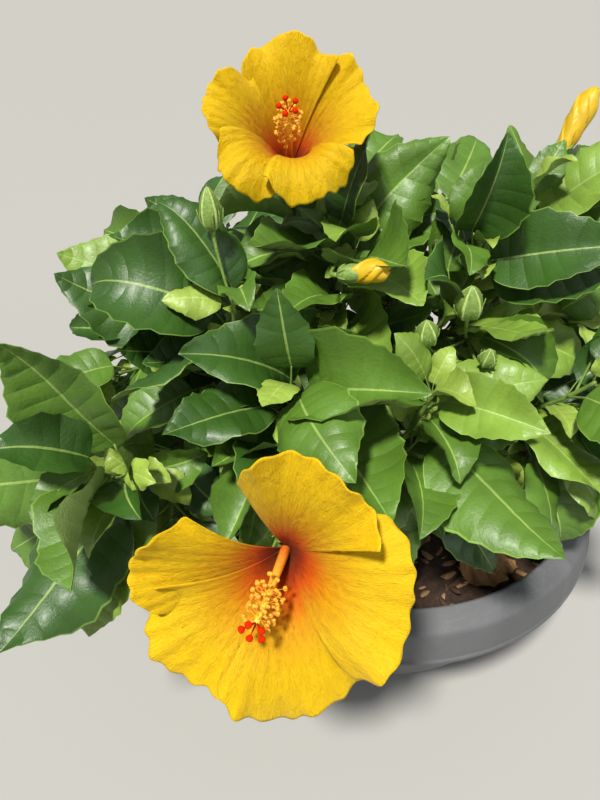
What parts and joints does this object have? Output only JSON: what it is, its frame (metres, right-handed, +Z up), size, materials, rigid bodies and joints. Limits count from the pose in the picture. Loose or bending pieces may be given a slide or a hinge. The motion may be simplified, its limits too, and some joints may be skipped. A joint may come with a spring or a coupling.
{
  "type": "hibiscus shrub",
  "caption": "Young hibiscus shrub with large ruffled yellow flowers, buds and broad toothed leaves on spreading woody boughs, growing in a low round bowl planter with a folded rim.",
  "frame": {"origin": "centre of the pot's flat underside", "axes": "+Z up, along the pot's own axis; -Y is the front, the side the picture was taken from; +X is to the viewer's right"},
  "size_m": [0.5993, 0.6105, 0.5701],
  "materials": {
    "pot": "matt, slightly weathered",
    "soil": "rough, crumbly, with pale bark chips",
    "bark": "matt, finely furrowed",
    "foliage": "waxy gloss on top, matt below",
    "petals": "soft, finely veined"
  },
  "bodies": {
    "root": {"pot": "pot", "soil": "soil", "trunk": "bark", "bough_back": "bark", "bough_back_left": "bark", "bough_back_low": "bark", "bough_back_right_low": "bark", "bough_bloom_closed": "bark", "bough_bloom_front": "bark", "bough_bloom_top": "bark", "bough_centre": "bark", "bough_front": "bark", "bough_front_right": "bark", "bough_left": "bark", "bough_left_back": "bark", "bough_left_front": "bark", "bough_left_middle": "bark", "bough_right": "bark", "bough_right_front": "bark", "bough_right_low": "bark", "bough_right_middle": "bark", "bough_top": "bark", "foliage_back": "foliage", "foliage_back_left": "foliage", "foliage_back_low": "foliage", "foliage_back_right_low": "foliage", "foliage_centre": "foliage", "foliage_front": "foliage", "foliage_front_right": "foliage", "foliage_left": "foliage", "foliage_left_back": "foliage", "foliage_left_front": "foliage", "foliage_left_middle": "foliage", "foliage_right": "foliage", "foliage_right_front": "foliage", "foliage_right_low": "foliage", "foliage_right_middle": "foliage", "foliage_top": "foliage", "bloom_closed": "petals", "bloom_front": "petals", "bloom_top": "petals"}
  },
  "joints": []
}
